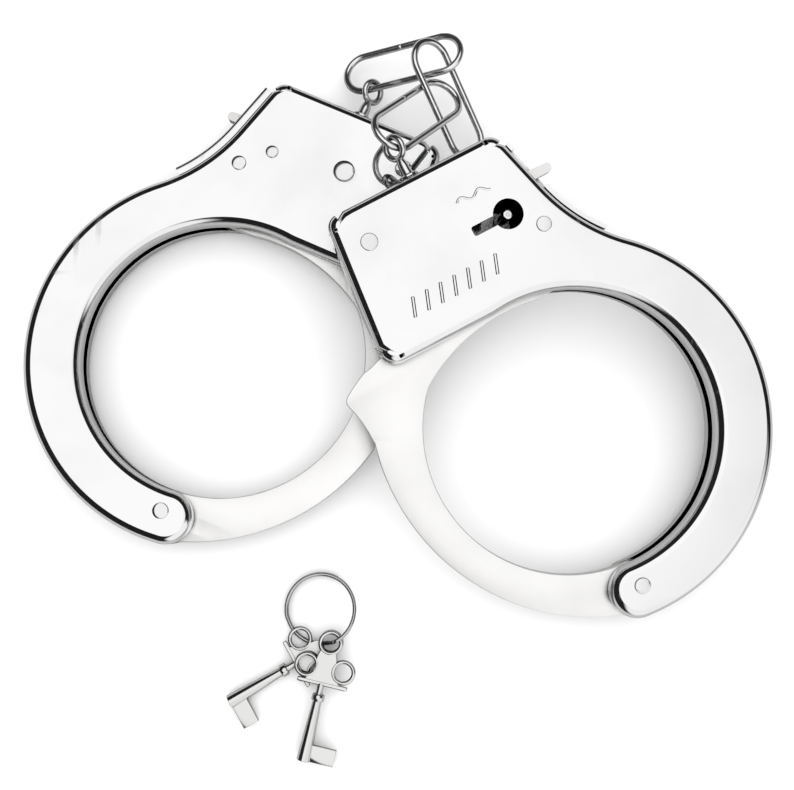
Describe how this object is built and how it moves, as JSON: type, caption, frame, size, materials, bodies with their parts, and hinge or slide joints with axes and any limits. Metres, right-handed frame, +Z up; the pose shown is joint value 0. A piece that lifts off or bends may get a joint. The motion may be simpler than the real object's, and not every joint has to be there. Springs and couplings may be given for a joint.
{
  "type": "pair of handcuffs",
  "caption": "Pair of ratchet wrist cuffs with pressed shells and swing-through jaws, joined by a short wire chain, with keys on a split ring.",
  "frame": {"origin": "centre of the bounding box of everything, on the resting plane", "axes": "+Z up from the resting plane; +Y towards the chain; +X towards the second cuff"},
  "size_m": [0.1502, 0.1508, 0.0228],
  "materials": {
    "nickel_shell": "mirror",
    "satin_jaw": "satin",
    "rivet_steel": "polished",
    "lock_steel": "dull",
    "chain_wire": "polished",
    "key_metal": "polished"
  },
  "bodies": {
    "left_frame": {"left_front_shell": "nickel_shell", "left_rear_shell": "nickel_shell", "left_jaw_rivet": "rivet_steel", "left_corner_rivet": "rivet_steel", "left_cheek_rivet": "rivet_steel", "left_key_post": "rivet_steel", "left_pawl_stud": "rivet_steel", "left_pawl_spring": "lock_steel"},
    "left_jaw": {"left_jaw": "satin_jaw"},
    "left_pawl": {"left_pawl": "lock_steel"},
    "left_swivel": {"left_swivel_eye": "chain_wire"},
    "link_a": {"chain_link_a": "chain_wire"},
    "link_b": {"chain_link_b": "chain_wire"},
    "link_c": {"chain_link_c": "chain_wire"},
    "right_swivel": {"right_swivel_eye": "chain_wire"},
    "right_frame": {"right_front_shell": "nickel_shell", "right_rear_shell": "nickel_shell", "right_jaw_rivet": "rivet_steel", "right_corner_rivet": "rivet_steel", "right_cheek_rivet": "rivet_steel", "right_key_post": "rivet_steel", "right_pawl_stud": "rivet_steel", "right_pawl_spring": "lock_steel"},
    "right_jaw": {"right_jaw": "satin_jaw"},
    "right_pawl": {"right_pawl": "lock_steel"},
    "key_ring": {"key_ring": "key_metal"},
    "key_one": {"key_one": "key_metal"},
    "key_two": {"key_two": "key_metal"}
  },
  "joints": [
    {"name": "left_jaw_swing", "type": "hinge", "parent": "left_frame", "child": "left_jaw", "pos_m": [-0.046, -0.02498, 0.00485], "axis": [0, 0, 1], "continuous": true},
    {"name": "left_pawl_pivot", "type": "hinge", "parent": "left_frame", "child": "left_pawl", "pos_m": [-0.01027, 0.04465, 0.00485], "axis": [0, 0, -1], "range_deg": [-3.4, 9.5], "deforming": ["left_pawl_spring"]},
    {"name": "left_swivel_turn", "type": "hinge", "parent": "left_frame", "child": "left_swivel", "pos_m": [-0.00761, 0.05679, 0.00485], "axis": [-0.3987, -0.9171, 0], "range_deg": [0, 75]},
    {"name": "eye_to_link_a", "type": "hinge", "parent": "left_swivel", "child": "link_a", "pos_m": [-0.00388, 0.06528, 0.00529], "axis": [-0.9492, -0.1111, -0.2944], "range_deg": [0, 7]},
    {"name": "link_a_to_b", "type": "hinge", "parent": "link_a", "child": "link_b", "pos_m": [0.01203, 0.06693, 0.00955], "axis": [-1, 0, 0], "range_deg": [0, 30]},
    {"name": "link_b_to_c", "type": "hinge", "parent": "link_b", "child": "link_c", "pos_m": [0.00611, 0.06173, 0.01175], "axis": [-1, 0, 0], "range_deg": [0, 40]},
    {"name": "link_c_to_eye", "type": "hinge", "parent": "link_c", "child": "right_swivel", "pos_m": [-0.00103, 0.0468, 0.0202], "axis": [-1, 0, 0], "range_deg": [0, 20]},
    {"name": "right_swivel_turn", "type": "hinge", "parent": "right_swivel", "child": "right_frame", "pos_m": [0.00371, 0.03873, 0.01831], "axis": [-0.4664, 0.8735, 0.1392], "range_deg": [0, 25]},
    {"name": "right_jaw_swing", "type": "hinge", "parent": "right_frame", "child": "right_jaw", "pos_m": [0.04813, -0.03892, 0.00574], "axis": [-0.0656, 0.1228, -0.9903], "continuous": true},
    {"name": "right_pawl_pivot", "type": "hinge", "parent": "right_frame", "child": "right_pawl", "pos_m": [0.00729, 0.02695, 0.01661], "axis": [0.0656, -0.1228, 0.9903], "range_deg": [-3.4, 9.5], "deforming": ["right_pawl_spring"]},
    {"name": "ring_lift", "type": "slide", "parent": "left_frame", "child": "key_ring", "axis": [0, 0, 1], "range_m": [0, 0.1]},
    {"name": "key_one_turn", "type": "hinge", "parent": "key_ring", "child": "key_one", "pos_m": [-0.01264, -0.05131, 0.00262], "axis": [0, 0, 1], "range_deg": [0, 60]},
    {"name": "key_two_turn", "type": "hinge", "parent": "key_ring", "child": "key_two", "pos_m": [-0.01264, -0.05131, 0.00125], "axis": [0, 0, -1], "range_deg": [0, 40]}
  ]
}
